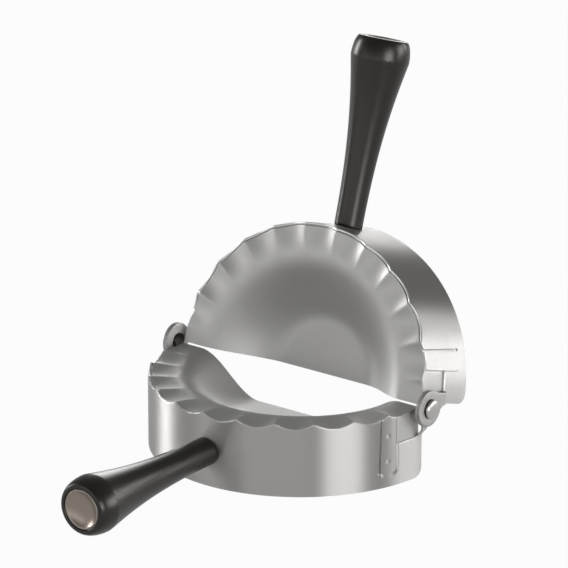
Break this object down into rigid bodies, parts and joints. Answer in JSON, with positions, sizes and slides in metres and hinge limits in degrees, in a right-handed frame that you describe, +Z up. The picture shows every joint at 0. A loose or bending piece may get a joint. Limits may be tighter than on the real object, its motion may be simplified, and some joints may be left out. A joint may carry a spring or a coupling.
{
  "type": "ravioli mould",
  "caption": "Hinged steel dumpling mould of two half-round cutters with scalloped rims, fluted dished trays and straight black grips, raised half open.",
  "frame": {"origin": "on the table, at the bottom centre of the whole part's box; the hinge axis lies along X above it", "axes": "+Y from the resting half's grip across the hinge to the raised half, +X to the right along the hinge axis, +Z up"},
  "size_m": [0.1318, 0.2, 0.1564],
  "materials": {
    "band_steel": "satin",
    "tray_steel": "satin",
    "grip_plastic": "satin",
    "cap_steel": "satin",
    "screw_steel": "plain",
    "insert_brass": "plain",
    "rivet_steel": "satin"
  },
  "bodies": {
    "front_half": {"front_band": "band_steel", "front_tray": "tray_steel", "front_grip": "grip_plastic", "front_end_cap": "cap_steel", "front_screw": "screw_steel", "front_washer": "screw_steel", "front_insert": "insert_brass", "left_rivet": "rivet_steel"},
    "back_half": {"back_band": "band_steel", "back_tray": "tray_steel", "back_grip": "grip_plastic", "back_end_cap": "cap_steel", "back_screw": "screw_steel", "back_washer": "screw_steel", "back_insert": "insert_brass", "right_rivet": "rivet_steel"}
  },
  "joints": [
    {"name": "fold", "type": "hinge", "parent": "front_half", "child": "back_half", "pos_m": [0, 0.03585, 0.0283], "axis": [1, 0, 0], "range_deg": [-72.4, 106.1]}
  ]
}
